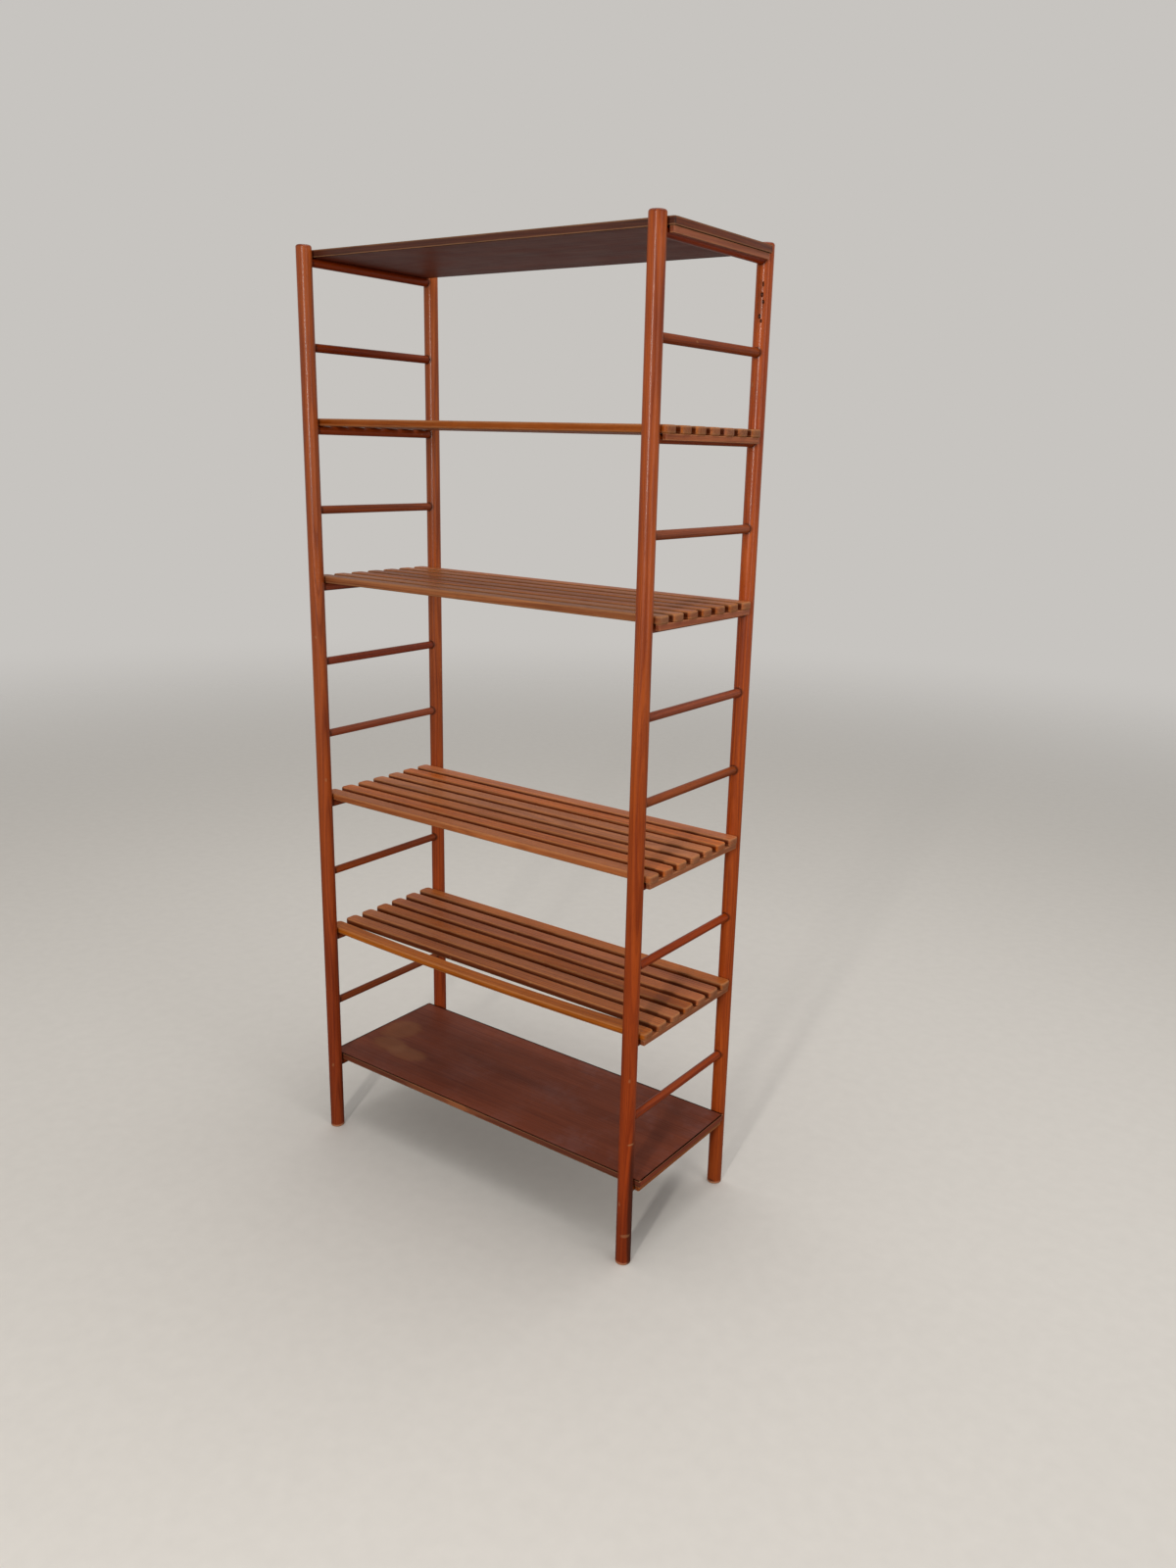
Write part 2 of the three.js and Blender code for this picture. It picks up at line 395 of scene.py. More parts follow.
tree, given, out = new_group(
    "Lacquer",
    {"Grain": "vector", "Place": "vector", "Roughness": "float", "Uneven": "float",
     "Worn": "float"},
    {"Roughness": "float"})
smear_place = vector_calc(tree, "MULTIPLY", given["Place"], SMEAR_SCALE)
smears = calc(tree, "SUBTRACT", noise(tree, smear_place, detail=3.0, roughness=0.6), 0.5)
streak_place = vector_calc(tree, "MULTIPLY", given["Grain"], STREAK_SCALE)
streaks = calc(tree, "SUBTRACT", noise(tree, streak_place, detail=2.0), 0.5)
uneven = calc(tree, "MULTIPLY", calc(tree, "ADD", smears, streaks), given["Uneven"])
rough = calc(tree, "ADD", given["Roughness"], uneven)
rough = calc(tree, "MULTIPLY_ADD", given["Worn"], WORN_ROUGHER, rough, clamp=True)
tree.links.new(rough, out["Roughness"])


# %% [markdown]
# ## The finishes
# Every finish follows one plan: figure, board-to-board tone, then soil and wear over it, and a
# Principled shader with a light coat. Six materials could be wired by hand, one after another.
# A small class keeps them alike: making a `Finish` builds the shared part, its methods add the
# marks of one kind of piece, and `end` adds the bump, the lacquer and the shader.

# %% Helper: a finish
def linear(red, green, blue):
    """A colour given as screen values from 0 to 255, as the linear colour that nodes work in."""
    def channel(value):
        value /= 255
        return value / 12.92 if value <= 0.04045 else ((value + 0.055) / 1.055) ** 2.4
    return (channel(red), channel(green), channel(blue), 1.0)


BARE_WOOD = linear(196, 142, 96)
# A dark colour for painted shade in recesses, at joints and low down, and for soil at the joints.
SHADE_AND_SOIL = linear(52, 24, 14)
SOAKED_TINT = (0.45, 0.36, 0.3, 1)
BUMP_STRENGTH = 0.9


class Finish:
    """A material while it is being built: its tree, colour, height, worn mask and coordinates."""

    def __init__(self, name, pale, deep, lines, line_strength, pore_strength, tone):
        self.material = bpy.data.materials.new(name)
        self.material.use_nodes = True
        self.tree = self.material.node_tree
        self.tree.nodes.clear()
        self.grain = read(self.tree, "grain", "Vector")
        self.edge = read(self.tree, "edge")
        self.end_grain = read(self.tree, "end_grain")
        self.place = node(self.tree, "ShaderNodeTexCoord").outputs["Object"]
        figure = use_group(self.tree, "Wood figure", {
            "Grain": self.grain, "Pale wood": pale, "Deep wood": deep, "Lines per metre": lines,
            "Line strength": line_strength, "Pore strength": pore_strength})
        toned = use_group(self.tree, "Board to board", {
            "Colour": figure["Colour"], "Tone": read(self.tree, "tone", "Vector"),
            "Light and dark": tone[0], "Hue": tone[1]})
        self.colour = toned["Colour"]
        self.height = figure["Height"]
        self.worn = None
        self.soak_end_grain()

    def soak_end_grain(self):
        """Cut ends drink more finish and go dark."""
        cut = fade(self.tree, self.end_grain, 0.55, 0.95, high=0.55)
        self.colour = mix_colour(self.tree, cut, self.colour, SOAKED_TINT, "MULTIPLY")

    def tint(self, mask, colour, strength, mode="MIX"):
        factor = calc(self.tree, "MULTIPLY", mask, strength)
        self.colour = mix_colour(self.tree, factor, self.colour, colour, mode)

    def wear(self, mask, strength, colour=BARE_WOOD, dent=0.0):
        self.tint(mask, colour, strength)
        self.worn = mask if self.worn is None else calc(self.tree, "MAXIMUM", self.worn, mask)
        if dent:
            self.height = calc(self.tree, "MULTIPLY_ADD", mask, -dent, self.height)

    def rub_edges(self, amount, strength):
        mask = use_group(self.tree, "Rubbed edges", {
            "Edge": self.edge, "Grain": self.grain, "Amount": amount})["Mask"]
        self.wear(mask, strength)

    def nick(self, cells, size, share, strength, dent):
        mask = use_group(self.tree, "Nicks", {
            "Grain": self.grain, "Cells per metre": cells, "Size": size, "Share": share})["Mask"]
        self.wear(mask, strength, dent=dent)

    def mark(self, centre, half_size, ragged, ragged_scale):
        return use_group(self.tree, "Mark", {
            "Place": self.place, "Centre": centre, "Half size": half_size, "Ragged": ragged,
            "Ragged scale": ragged_scale})["Mask"]

    def end(self, roughness, uneven, bump, coat, coat_roughness, specular=0.5):
        rough = use_group(self.tree, "Lacquer", {
            "Grain": self.grain, "Place": self.place, "Roughness": roughness, "Uneven": uneven,
            "Worn": self.worn})["Roughness"]
        relief = node(self.tree, "ShaderNodeBump", {
            "Height": self.height, "Strength": BUMP_STRENGTH, "Distance": bump}).outputs["Normal"]
        shader = node(self.tree, "ShaderNodeBsdfPrincipled", {
            "Base Color": self.colour, "Roughness": rough, "Normal": relief,
            "Coat Weight": coat, "Coat Roughness": coat_roughness,
            "Specular IOR Level": specular})
        node(self.tree, "ShaderNodeOutputMaterial", {"Surface": shader.outputs[0]})
        print("finish", self.material.name, "has", len(self.tree.nodes), "nodes")
        return self.material


# %% [markdown]
# ## Finish of the posts
# The posts are straight and round, and lacquered a warm orange-brown. Towards the floor they are
# painted darker and redder, and darker still just above it: painted shade, for the weaker light
# low down. Each joint has a dark ring, partly from polish and dust that collect there and partly
# painted shade where the rung meets the post. The feet are rubbed pale, and the posts are nicked
# here and there. An image could hold all of this, but it would fit one size of post. Masks worked
# out from the height and from the distance to each rung fit any.
#
# The post at the rear right is left out of most of the painted low shade, as more light reached
# it and it stays paler low down. This painted shade shows under any light. Sockets and gouges are
# found by their distance from the post's axis, since only a cut lies inside the round surface,
# and are tinted dark as painted shade in the recess.

# %% Post finish
REDDENS_FROM, REDDENS_TO = 1.5, 0.05  # heights
LOW_SHADE_TINT = (0.72, 0.43, 0.6, 1)
REAR_RIGHT_EXEMPT = 0.85
FLOOR_SHADE_FROM, FLOOR_SHADE_TO = 0.24, 0.02
CAP_TINT = (0.3, 0.2, 0.16, 1)
PALE_FOOT = linear(206, 136, 104)

finish = Finish("Lacquered post wood", linear(196, 98, 32), linear(132, 54, 16), 300, 0.45, 0.55,
                (0.06, 0.005))
tree = finish.tree
place_xyz = node(tree, "ShaderNodeSeparateXYZ", {0: finish.place}).outputs
# Painted shade: darker and redder towards the floor, except on most of the rear right post, which
# stood in more light.
low_down = fade(tree, place_xyz[2], REDDENS_FROM, REDDENS_TO)
right_side = calc(tree, "GREATER_THAN", place_xyz[0], 0.0)
rear_side = calc(tree, "GREATER_THAN", place_xyz[1], 0.0)
rear_right = calc(tree, "MULTIPLY", right_side, rear_side)
low_shade = calc(tree, "MULTIPLY_ADD", rear_right, -REAR_RIGHT_EXEMPT, 1.0)
low_shade = calc(tree, "MULTIPLY", low_down, low_shade)
finish.tint(low_shade, LOW_SHADE_TINT, 0.8, "MULTIPLY")
# Painted shade: darker still just above the floor.
near_floor = fade(tree, place_xyz[2], FLOOR_SHADE_FROM, FLOOR_SHADE_TO)
finish.tint(near_floor, SHADE_AND_SOIL, 0.22)

# %% Post finish: cuts and joints
from_ladder = calc(tree, "SUBTRACT", calc(tree, "ABSOLUTE", place_xyz[0]), LADDER_X)
from_row = calc(tree, "SUBTRACT", calc(tree, "ABSOLUTE", place_xyz[1]), POST_Y)
axis_vector = node(tree, "ShaderNodeCombineXYZ", {0: from_ladder, 1: from_row}).outputs[0]
from_axis = node(tree, "ShaderNodeVectorMath", {0: axis_vector}, operation="LENGTH")
# Painted shade in the sockets and gouges: a point that lies inside the round surface is tinted
# dark.
inside = fade(tree, from_axis.outputs["Value"], POST_RADIUS - 0.15 * MM, POST_RADIUS - 0.7 * MM)
below_top = calc(tree, "LESS_THAN", place_xyz[2], POST_HEIGHT - 10 * MM)
finish.tint(calc(tree, "MULTIPLY", inside, below_top), SHADE_AND_SOIL, 0.8)
# A dark ring round each rung: polish and dust that collect there, and painted shade where the rung
# meets the post.
from_rung = calc(tree, "PINGPONG", place_xyz[2], RUNG_PITCH / 2)
joint_vector = node(tree, "ShaderNodeCombineXYZ", {0: from_ladder, 1: from_rung}).outputs[0]
joint_reach = node(tree, "ShaderNodeVectorMath", {0: joint_vector}, operation="LENGTH")
joint = fade(tree, joint_reach.outputs["Value"], RUNG_RADIUS + 4 * MM, RUNG_RADIUS + 0.5 * MM)
inner_side = calc(tree, "LESS_THAN", calc(tree, "ABSOLUTE", place_xyz[1]), POST_Y)
finish.tint(calc(tree, "MULTIPLY", joint, inner_side), SHADE_AND_SOIL, 0.6)

# %% Post finish: top, feet and single marks
cap = fade(tree, place_xyz[2], POST_HEIGHT - 6 * MM, POST_HEIGHT - 1 * MM)
finish.tint(cap, CAP_TINT, 0.8, "MULTIPLY")
foot_band = finish.mark((0, 0, 0), (9, 9, 7 * MM), 0.9, (90, 90, 40))
finish.wear(foot_band, 0.75, colour=PALE_FOOT)
finish.rub_edges(0.42, 0.5)
finish.nick(34.0, 0.10, 0.22, 0.35, 0.9)

# A dark streak low on the right side of the front right post, up from the floor.
front_right_streak = finish.mark(
    (LADDER_X + 20 * MM, -POST_Y, 120 * MM), (13 * MM, 16 * MM, 240 * MM), 0.35, (60, 60, 9))
finish.tint(front_right_streak, SHADE_AND_SOIL, 0.75)
streak_end = finish.mark(
    (LADDER_X + 16 * MM, -POST_Y - 8 * MM, 274 * MM), (8 * MM, 12 * MM, 2.5 * MM), 0.5,
    (200, 200, 200))
finish.wear(streak_end, 0.6, dent=0.5)
scuffed_ring = finish.mark(
    (LADDER_X + 10 * MM, -POST_Y - 10 * MM, 68 * MM), (12 * MM, 14 * MM, 5 * MM), 1.2,
    (150, 150, 300))
finish.wear(scuffed_ring, 0.35, dent=0.3)
# Painted shade over the rear right post's gouges, so that they look dark.
rear_right_gouge_shade = finish.mark(
    (LADDER_X + 3 * MM, POST_Y - POST_RADIUS, 1846 * MM), (8 * MM, 9 * MM, 48 * MM), 1.6,
    (150, 150, 70))
finish.tint(rear_right_gouge_shade, SHADE_AND_SOIL, 0.4)
post_finish = finish.end(0.34, 0.14, 0.2 * MM, 0.16, 0.13, 0.24)

# %% [markdown]
# ## Finish of the rungs
# Rungs are dowels of the same wood, a little darker. They could wear the finish of the posts, but
# that one is built on heights and joints along Z. This one runs along Y, and only its ends go
# dark, where they enter the posts: partly dirt that collects there and partly painted shade in
# the joint.

# %% Rung finish
finish = Finish("Lacquered rung wood", linear(168, 76, 32), linear(114, 42, 16), 330, 0.4, 0.5,
                (0.09, 0.006))
tree = finish.tree
rung_y = node(tree, "ShaderNodeSeparateXYZ", {0: finish.place}).outputs[1]
post_face = POST_Y - POST_RADIUS
# The ends go dark where they enter the posts: dirt that collects there and painted shade in the
# joint.
near_joint = fade(tree, calc(tree, "ABSOLUTE", rung_y), post_face - 5 * MM, post_face)
finish.tint(near_joint, SHADE_AND_SOIL, 0.6)
finish.nick(40.0, 0.09, 0.25, 0.4, 0.8)
rung_finish = finish.end(0.38, 0.16, 0.2 * MM, 0.1, 0.2, 0.2)

# %% [markdown]
# ## Finish of the slats
# The slats look more golden than the rest, and each one differs. Their edges are eased and rubbed
# by what has stood on them, and their sawn ends are scuffed. The sides that face a neighbour are
# tinted dark. Little light gets between two slats, and the studio is too even to show that by
# itself, so this tint stands in for it. It is paint and not shade: it stays under any light.

# %% Slat finish
GAP_TINT = (0.3, 0.18, 0.13, 1)
SCUFFED_END = linear(170, 118, 88)

finish = Finish("Lacquered slat wood", linear(206, 118, 58), linear(142, 70, 30), 260, 0.4, 0.6,
                (0.05, 0.003))
gap_side = read(finish.tree, "gap_side")
finish.tint(gap_side, GAP_TINT, 0.9, "MULTIPLY")
scuffed_end = calc(finish.tree, "MULTIPLY", fade(finish.tree, finish.end_grain, 0.5, 0.9),
                   noise(finish.tree, finish.grain, scale=160.0, detail=3.0))
finish.wear(scuffed_end, 0.8, colour=SCUFFED_END)
finish.rub_edges(0.4, 0.35)
finish.nick(26.0, 0.09, 0.25, 0.35, 0.8)
slat_finish = finish.end(0.42, 0.18, 0.25 * MM, 0.06, 0.25, 0.15)

# %% [markdown]
# ## Finish of the battens
# The battens are plain strips that look paler and duller, as if their lacquer were thinner. They
# are also made lighter where they are placed, as painted light for the light that falls on the
# right ones. The slats' finish could serve, but it has a tint for gaps that a batten doesn't need.

# %% Batten finish
finish = Finish("Thinly lacquered batten wood", linear(186, 106, 62), linear(140, 72, 38), 280,
                0.45, 0.55, (0.05, 0.004))
finish.rub_edges(0.45, 0.5)
finish.nick(30.0, 0.1, 0.25, 0.35, 0.8)
batten_finish = finish.end(0.48, 0.14, 0.22 * MM, 0.1, 0.3, 0.3)

# %% [markdown]
# ## Finish of the panels
# The two solid shelves are faced with dark reddish-brown veneer, with a softer figure than the
# solid pieces. The bottom one has a pale patch at its left end, from the middle of its depth
# towards the front. Three overlapping marks give it an uneven outline, where one would look
# round. Light dust lies on both, only where a face looks up. It is made stronger to the right as
# a painted sheen, where more light falls.

# %% Veneer finish
# Each patch is (centre X, centre Y, half length, half depth) in metres.
PATCHES = ((-0.39, 0.01, 0.055, 0.06), (-0.36, -0.06, 0.06, 0.035),
           (-0.295, -0.068, 0.065, 0.034))
PATCH_HALF_HEIGHT = 20 * MM
DUST_SCALE = (7, 7, 7)
DUST_AND_SHEEN = linear(160, 136, 140)
DUST_AND_SHEEN_STRENGTH = 0.17
SHEEN_LEFT_X, SHEEN_RIGHT_X = -0.4, 0.4

finish = Finish("Lacquered veneer", linear(132, 64, 44), linear(88, 38, 26), 170, 0.2, 0.4,
                (0.04, 0.004))
tree = finish.tree
BOTTOM_TOP_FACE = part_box("bottom_panel")[1].z
for centre_x, centre_y, half_x, half_y in PATCHES:
    patch = finish.mark((centre_x, centre_y, BOTTOM_TOP_FACE),
                        (half_x, half_y, PATCH_HALF_HEIGHT), 0.7, (14, 60, 1))
    finish.wear(patch, 0.55, colour=linear(150, 100, 70))
facing_up = node(tree, "ShaderNodeSeparateXYZ",
                 {0: node(tree, "ShaderNodeNewGeometry").outputs["True Normal"]}).outputs[2]
dust_place = vector_calc(tree, "MULTIPLY", finish.place, DUST_SCALE)
dusty = fade(tree, noise(tree, dust_place, detail=5.0, roughness=0.7), 0.42, 0.7)
dust = calc(tree, "MULTIPLY", dusty, calc(tree, "MAXIMUM", facing_up, 0.0))
# Painted sheen: the dust is made stronger to the right, where more light falls.
sheen_to_the_right = fade(tree, node(tree, "ShaderNodeSeparateXYZ", {0: finish.place}).outputs[0],
               SHEEN_LEFT_X, SHEEN_RIGHT_X, 0.25, 1.0)
finish.tint(calc(tree, "MULTIPLY", dust, sheen_to_the_right), DUST_AND_SHEEN, DUST_AND_SHEEN_STRENGTH)
finish.rub_edges(0.4, 0.3)
veneer_finish = finish.end(0.5, 0.2, 0.12 * MM, 0.02, 0.3, 0.12)

# %% [markdown]
# ## Finish of the lippings
# A thin strip of solid wood covers each edge of a panel. It is more orange than the veneer, and
# the front one of the bottom shelf is scuffed along its middle. Those scuffs are two marks, a
# long faint one and a short strong one, so that they don't end all at once.

# %% Lipping finish
finish = Finish("Lacquered lipping wood", linear(128, 62, 36), linear(84, 38, 23), 300, 0.4, 0.5,
                (0.04, 0.004))
# Each scuff is (centre X, half length, strength).
SCUFFS = ((-0.09, 0.15, 0.25), (-0.05, 0.035, 0.4))
FRONT_FACE_Y = -0.1615
for centre_x, half_x, strength in SCUFFS:
    scuff = finish.mark((centre_x, FRONT_FACE_Y, BOTTOM_TOP_FACE - 5 * MM),
                        (half_x, 20 * MM, 20 * MM), 2.0, (26, 200, 260))
    finish.wear(scuff, strength, colour=linear(190, 116, 68), dent=0.4)
finish.rub_edges(0.55, 0.5)
lipping_finish = finish.end(0.42, 0.16, 0.2 * MM, 0.1, 0.25, 0.3)

# %% [markdown]
# ## Eased boards
# Slats, battens, boards and lippings are all the same form: a flat board whose corners may be
# rounded in plan and whose edges are eased. A bevelled cube would do it, but then the wear on an
# edge could not be told from the flats. So the board is built ring by ring, from the underside
# round the edge to the top, and each ring knows how close it is to an eased edge.
#
# The innermost ring lies an easing and a wear reach in from the edge. That needs a board wider
# than twice as much. The lippings are narrower, so their top and bottom faces fold over, stand a
# quarter of a millimetre outside the strip and look dark: a known fault of this version.

# %% Helper: an eased board
CORNER_STEPS = 6
EASING_STEPS = 4
WEAR_REACH = 2.5 * MM


def outline(length, width, radius, inset):
    """The points of a rounded rectangle, counter-clockwise from above, drawn in by inset."""
    radius = max(radius - inset, 0.1 * MM)
    x = length / 2 - inset - radius
    y = width / 2 - inset - radius
    points = []
    for index, (centre_x, centre_y) in enumerate([(x, -y), (x, y), (-x, y), (-x, -y)]):
        for step in range(CORNER_STEPS + 1):
            angle = (index - 1 + step / CORNER_STEPS) * math.pi / 2
            points.append((centre_x + radius * math.cos(angle),
                           centre_y + radius * math.sin(angle)))
    return points


def eased_profile(thickness, easing):
    """(inset, height, edge value) from the middle of the underside to the middle of the top."""
    half = [(easing + WEAR_REACH, 0.0, 0.0), (easing + 0.5 * MM, 0.0, 0.55)]
    for step in range(EASING_STEPS + 1):
        angle = step / EASING_STEPS * math.pi / 2
        edge = 0.8 + 0.2 * math.sin(2 * angle)
        half.append((easing * (1 - math.sin(angle)), easing * (1 - math.cos(angle)), edge))
    half.append((0.0, min(easing + WEAR_REACH, 0.48 * thickness), 0.0))
    return half + [(inset, thickness - height, edge) for inset, height, edge in reversed(half)]


def eased_board(name, length, width, thickness, corner, easing):
    """A board along X on z = 0, centred in X and Y. Gives back the object and its edge values."""
    profile = eased_profile(thickness, easing)
    vertices, edges = [], []
    for inset, height, edge in profile:
        ring = outline(length, width, corner, inset)
        vertices += [(x, y, height) for x, y in ring]
        edges += [edge] * len(ring)
    count = len(ring)
    faces = [tuple(reversed(range(count)))]
    for level in range(len(profile) - 1):
        for i in range(count):
            a, b = level * count + i, level * count + (i + 1) % count
            faces.append((a, b, b + count, a + count))
    faces.append(tuple(range(len(vertices) - count, len(vertices))))
    return mesh_object(name, vertices, faces), edges


SMOOTH_UNDER = math.radians(50)
SIDE_REACH = 1 * MM
SIDE_TOP = 0.95


def mark_gap_sides(mesh, width, thickness, front, rear):
    """Writes gap_side: 1 on the long sides that face a neighbour, below the top edge, else 0."""
    values = []
    for vertex in mesh.vertices:
        _, y, z = vertex.co
        faces_neighbour = front if y < 0 else rear
        upright = abs(abs(y) - width / 2) < SIDE_REACH and z < SIDE_TOP * thickness
        values.append(1.0 if faces_neighbour and upright else 0.0)
    point_attribute(mesh, "gap_side", "FLOAT", values)


def place_board(obj, edges, centre, underside, direction="X", turn=0.0, grain_turn=0.0,
                shade=0.0):
    """Turns the board in its mesh, puts it where it belongs, and writes its wood coordinates."""
    angle = turn + (math.pi / 2 if direction == "Y" else 0.0)
    matrix = Matrix.Translation((centre[0], centre[1], underside)) @ Matrix.Rotation(angle, 4, "Z")
    obj.data.transform(matrix)
    obj.data.shade_smooth()
    obj.data.set_sharp_from_angle(angle=SMOOTH_UNDER)
    mark_wood(obj, direction, edges, grain_turn, shade)
    return obj


# %% [markdown]
# ## Round stock
# Posts and rungs are round stock. Blender's own cylinder has no chamfer and no rounded shoulder,
# so a profile is swept round an axis, with enough sides that the outline stays smooth close up.

# %% Helper: a turned rod
def turned_rod(name, profile, sides):
    """A rod about Z from (radius, height, edge value) points, closed by one face at each end."""
    vertices, edges = [], []
    for radius, height, edge in profile:
        for i in range(sides):
            angle = 2 * math.pi * i / sides
            vertices.append((radius * math.cos(angle), radius * math.sin(angle), height))
            edges.append(edge)
    faces = [tuple(reversed(range(sides)))]
    for level in range(len(profile) - 1):
        for i in range(sides):
            a, b = level * sides + i, level * sides + (i + 1) % sides
            faces.append((a, b, b + sides, a + sides))
    faces.append(tuple(range(len(vertices) - sides, len(vertices))))
    return mesh_object(name, vertices, faces), edges


# %% [markdown]
# ## The rungs
# Each rung is a dowel that goes into a blind socket in both posts. Its ends are chamfered, as a
# dowel has to be to start in its hole. The real rungs look darker on the left ladder and lighter
# on the right, where more light falls. That is painted in as a shade of the wood: painted light.

# %% Make the rungs
RUNG_SIDES = 32
DOWEL_CHAMFER = 1.0 * MM
DOWEL_SHARP_ABOVE = math.radians(30)
# Painted light: the left ladder's rungs are darker and the right one's lighter, for the light on
# each side.
RUNG_PAINTED_LIGHT = {"left": -1.0, "right": 0.8}

for side in SIDES:
    for number in range(1, RUNG_COUNT + 1):
        cad = f"rung_{side}_{number:02d}"
        middle = centre_of(cad)
        half = size_of(cad).y / 2
        chamfered = RUNG_RADIUS - DOWEL_CHAMFER
        dowel = [(chamfered, -half, 0.0), (RUNG_RADIUS, -half + DOWEL_CHAMFER, 0.0),
                 (RUNG_RADIUS, half - DOWEL_CHAMFER, 0.0), (chamfered, half, 0.0)]
        rung, edges = turned_rod(f"{side}_rung_{number:02d}", dowel, RUNG_SIDES)
        rung.data.transform(Matrix.Translation(middle) @ Matrix.Rotation(-math.pi / 2, 4, "X"))
        rung.data.shade_smooth()
        rung.data.set_sharp_from_angle(angle=DOWEL_SHARP_ABOVE)
        mark_wood(rung, "Y", edges, random.Random(cad).uniform(0, math.pi), RUNG_PAINTED_LIGHT[side])
        add_piece(rung, "ladders", [cad], "rung_wood", rung_finish)
print(piece_count["rung_wood"], "rungs")

# %% [markdown]
# ## The posts
# A post has a rounded shoulder at the top and a small chamfer at the foot, and is bored with a row
# of blind sockets that face the other post. The sockets are cut with a Boolean modifier. That
# leaves uneven shading round each hole, so afterwards the normals of the round surface are set to
# what they are on a true cylinder. One post has gouges near its top, cut by the same modifier.

# %% Helper: bore the sockets and keep the post round
POST_SIDES = 72
TOP_ROUNDING = 4.5 * MM
FOOT_CHAMFER = 1.5 * MM
SOCKET_PLAY = 0.15 * MM
SHOULDER_STEPS = 6
FOOT_RING = 9 * MM
SHOULDER_RING = 8 * MM
CAP_ROUNDING = 3 * MM


def post_profile():
    profile = [(POST_RADIUS - FOOT_CHAMFER, 0.0, 1.0), (POST_RADIUS, FOOT_CHAMFER, 1.0),
               (POST_RADIUS, FOOT_RING, 0.0)]
    shoulder = POST_HEIGHT - TOP_ROUNDING
    profile.append((POST_RADIUS, shoulder - SHOULDER_RING, 0.0))
    for step in range(SHOULDER_STEPS + 1):
        angle = step / SHOULDER_STEPS * math.pi / 2
        radius = POST_RADIUS - TOP_ROUNDING * (1 - math.cos(angle))
        edge = 0.5 + 0.5 * math.sin(2 * angle)
        profile.append((radius, shoulder + TOP_ROUNDING * math.sin(angle), edge))
    profile.append((POST_RADIUS - TOP_ROUNDING - CAP_ROUNDING, POST_HEIGHT, 0.0))
    return profile


GOUGED_POST = "post_rear_right"
GOUGE_DEPTH = 2.6 * MM
# Each gouge is (sideways from the post's axis, height in metres, half width, half height).
GOUGES = [(6.0 * MM, 1.878, 1.6 * MM, 5.0 * MM), (4.8 * MM, 1.860, 2.6 * MM, 4.4 * MM),
          (7.6 * MM, 1.848, 2.2 * MM, 3.8 * MM), (2.4 * MM, 1.823, 2.8 * MM, 4.6 * MM),
          (5.4 * MM, 1.815, 2.0 * MM, 3.4 * MM)]


def socket_cutter(facing, depth, gouges=()):
    """All the sockets and gouges of one post in one mesh, about the post's own axis."""
    cutter = bmesh.new()
    radius = RUNG_RADIUS + SOCKET_PLAY
    length = 2 * POST_RADIUS
    bottom = POST_RADIUS - depth
    for level in range(1, RUNG_COUNT + 1):
        place = Matrix.Translation((0, facing * (bottom + length / 2), level * RUNG_PITCH))
        bmesh.ops.create_cone(
            cutter, cap_ends=True, segments=RUNG_SIDES, radius1=radius, radius2=radius,
            depth=length, matrix=place @ Matrix.Rotation(math.pi / 2, 4, "X"))
    for x, z, half_width, half_height in gouges:
        y = facing * (POST_RADIUS ** 2 - x ** 2) ** 0.5
        size = Matrix.Diagonal((half_width, GOUGE_DEPTH, half_height, 1))
        bmesh.ops.create_icosphere(cutter, subdivisions=3, radius=1.0,
                                   matrix=Matrix.Translation((x, y, z)) @ size)
    mesh = bpy.data.meshes.new("sockets")
    cutter.to_mesh(mesh)
    cutter.free()
    obj = bpy.data.objects.new("sockets", mesh)
    bpy.context.scene.collection.objects.link(obj)
    return obj


def cut_away(obj, cutter):
    """Applies the cut, so that the sockets are in the mesh itself, and removes the cutter."""
    modifier = obj.modifiers.new("Sockets", "BOOLEAN")
    modifier.operation = "DIFFERENCE"
    modifier.solver = "EXACT"
    modifier.object = cutter
    graph = bpy.context.evaluated_depsgraph_get()
    cut = bpy.data.meshes.new_from_object(obj.evaluated_get(graph))
    obj.modifiers.clear()
    obj.data = cut
    bpy.data.objects.remove(cutter)


def round_normals(mesh):
    """Gives the corners on the turned side the normals of a true cylinder about Z."""
    normals = []
    for polygon in mesh.polygons:
        for index in polygon.loop_indices:
            place = mesh.vertices[mesh.loops[index].vertex_index].co
            radial = Vector((place.x, place.y, 0))
            on_side = radial.length > POST_RADIUS - 0.3 * MM and abs(polygon.normal.z) < 0.02
            if on_side and polygon.normal.dot(radial.normalized()) > 0.9:
                normals.append(radial.normalized())
            else:
                normals.append(mesh.corner_normals[index].vector.copy())
    mesh.normals_split_custom_set(normals)


# %% [markdown]
# ## Turning and boring each post
# The post is made about its own axis, where the true normals are easy to work out, and only then
# moved to its corner. The two rear posts get a shade of their own, which is painted light: the
# right one is lighter for the light that reached it, and the left one darker for the shade it
# stood in.

# %% Make the posts
FOOT_WEAR = 6 * MM
POST_SHARP_ABOVE = math.radians(40)
SOCKET_SPARE = 0.3 * MM  # the socket is this much deeper than the dowel needs
# Painted light: the rear right post is lighter for the light it got, the rear left one darker for
# its shade.
POST_PAINTED_LIGHT = {"post_rear_right": 1.5, "post_rear_left": -0.6}
SOCKET_DEPTH = size_of("rung_left_01").y / 2 - (POST_Y - POST_RADIUS) + SOCKET_SPARE

